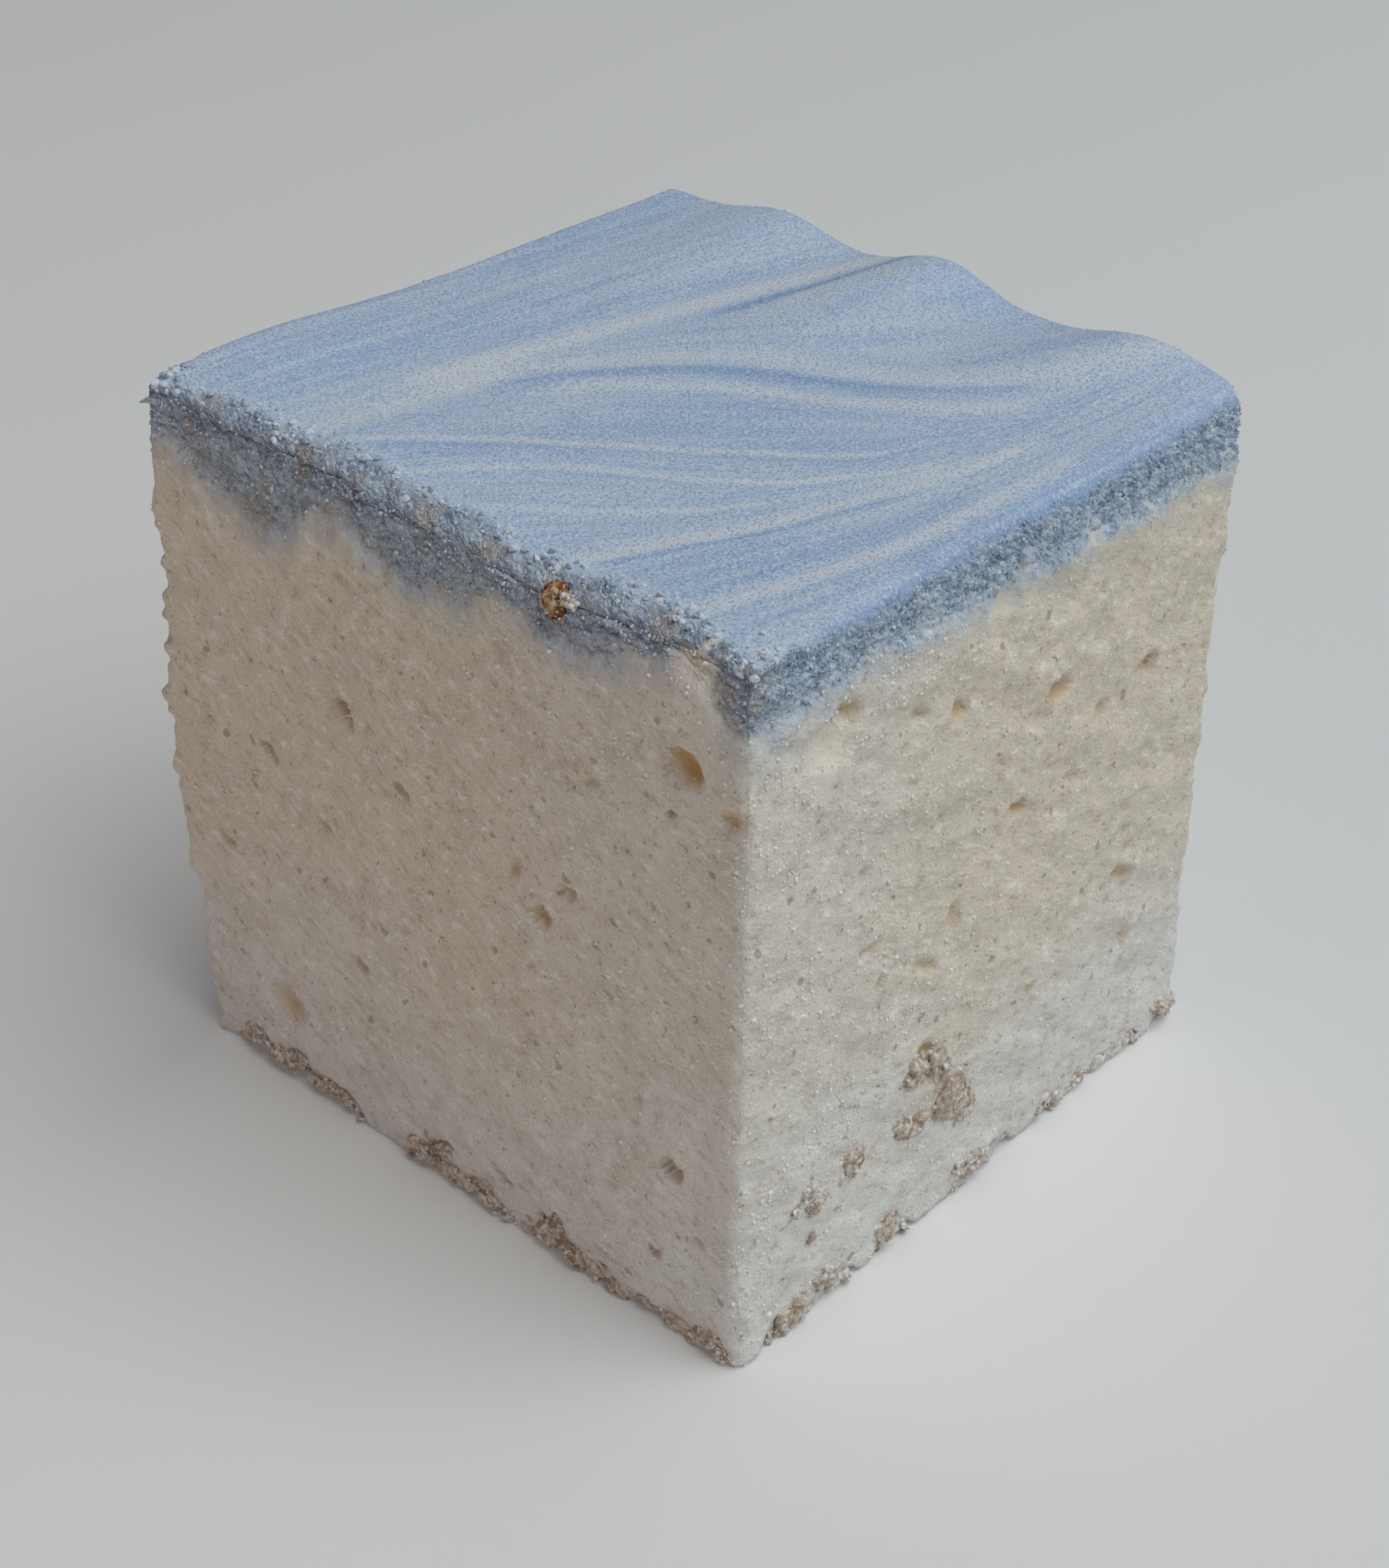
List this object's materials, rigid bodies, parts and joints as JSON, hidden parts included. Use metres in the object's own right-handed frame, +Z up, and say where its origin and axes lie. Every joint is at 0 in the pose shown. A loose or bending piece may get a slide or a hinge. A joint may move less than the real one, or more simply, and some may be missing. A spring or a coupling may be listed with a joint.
{
  "type": "marshmallow",
  "caption": "Hand-cut cube of cream marshmallow foam with open bubbles, a blue and white marbled layer poured on top and a thin biscuit-crumb crust underneath.",
  "frame": {"origin": "middle of the flat underside of the crumb crust", "axes": "+Z up through the poured top; -Y is the front cut side and +X the right cut side, the two sides that the picture shows"},
  "size_m": [0.0531, 0.0511, 0.0523],
  "materials": {
    "crumb_crust": "rough baked biscuit crumbs, dusted pale",
    "cream_foam": "matt cut foam with open bubbles and a dusting of powder",
    "blue_marbled": "satin poured top, blue with fine white marbling"
  },
  "bodies": {
    "root": {"crumb_base": "crumb_crust", "foam_body": "cream_foam", "marbled_layer": "blue_marbled"}
  },
  "joints": []
}
